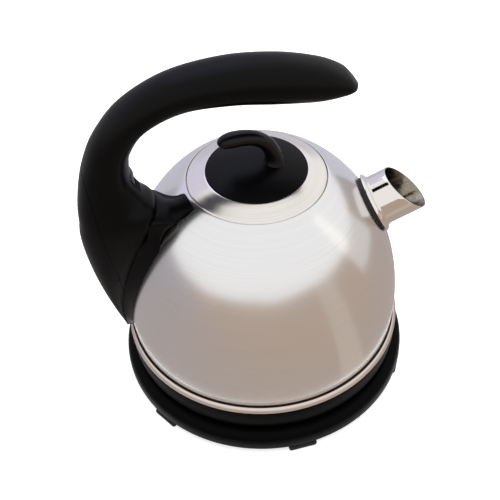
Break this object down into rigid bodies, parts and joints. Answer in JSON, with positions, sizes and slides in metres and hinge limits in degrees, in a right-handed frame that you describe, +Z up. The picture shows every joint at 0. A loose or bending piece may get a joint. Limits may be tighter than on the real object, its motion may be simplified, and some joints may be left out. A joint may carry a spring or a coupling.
{
  "type": "electric kettle",
  "caption": "Cordless dome kettle in satin steel with a black hooped handle, lift-off lid with a hooked knob, straight polished spout and round power base.",
  "frame": {"origin": "centre of the power base on the table, on the axis of the dome", "axes": "+X towards the spout, -X towards the handle, +Y away to the side, +Z up"},
  "size_m": [0.2298, 0.1999, 0.2512],
  "materials": {
    "plastic_black": "satin",
    "plastic_inner": "matte",
    "plastic_cream": "matte",
    "steel_satin": "brushed satin",
    "steel_bright": "polished",
    "screw_steel": "bright",
    "brass": "bright",
    "aluminium": "matte",
    "rubber_black": "matte",
    "silicone_grey": "matte"
  },
  "bodies": {
    "power_base": {"base_shell": "plastic_black", "base_cover": "plastic_black", "base_feet": "rubber_black", "base_screws": "screw_steel", "cord_gland": "plastic_black", "contact_spigot": "plastic_inner", "contact_sleeves": "brass", "earth_pin": "brass"},
    "socket_body": {"socket": "plastic_inner", "socket_contacts": "brass"},
    "kettle": {"vessel": "steel_satin", "neck_ring": "steel_satin", "band": "steel_bright", "skirt": "plastic_black", "skirt_screws": "screw_steel", "floor_plate": "steel_satin", "floor_seal": "silicone_grey", "heat_plate": "aluminium", "heating_element": "aluminium", "control_ring": "plastic_cream", "cutout_discs": "screw_steel", "spout_tube": "steel_bright", "spout_flange": "steel_bright", "spout_gasket": "rubber_black", "spout_strainer": "steel_satin", "handle_shell": "plastic_black", "handle_saddle": "plastic_black", "rear_cover": "plastic_black", "handle_screws": "screw_steel", "steam_tube": "silicone_grey", "steam_switch": "plastic_cream", "switch_pin": "screw_steel"},
    "lid": {"lid_ring": "steel_satin", "lid_cap": "plastic_black", "lid_knob": "plastic_black", "lid_plug": "steel_satin", "lid_seal": "silicone_grey", "lid_screw": "screw_steel"},
    "switch": {"switch_lever": "plastic_black"}
  },
  "joints": [
    {"name": "kettle_lift", "type": "slide", "parent": "power_base", "child": "socket_body", "axis": [0, 0, 1], "range_m": [0, 0.06]},
    {"name": "kettle_swivel", "type": "hinge", "parent": "socket_body", "child": "kettle", "pos_m": [0, 0, 0.025], "axis": [0, 0, 1], "continuous": true},
    {"name": "lid_lift", "type": "slide", "parent": "kettle", "child": "lid", "axis": [0, 0, 1], "range_m": [0, 0.02]},
    {"name": "switch_rock", "type": "hinge", "parent": "kettle", "child": "switch", "pos_m": [-0.085, 0, 0.176], "axis": [0, 1, 0], "range_deg": [0, 8]}
  ]
}
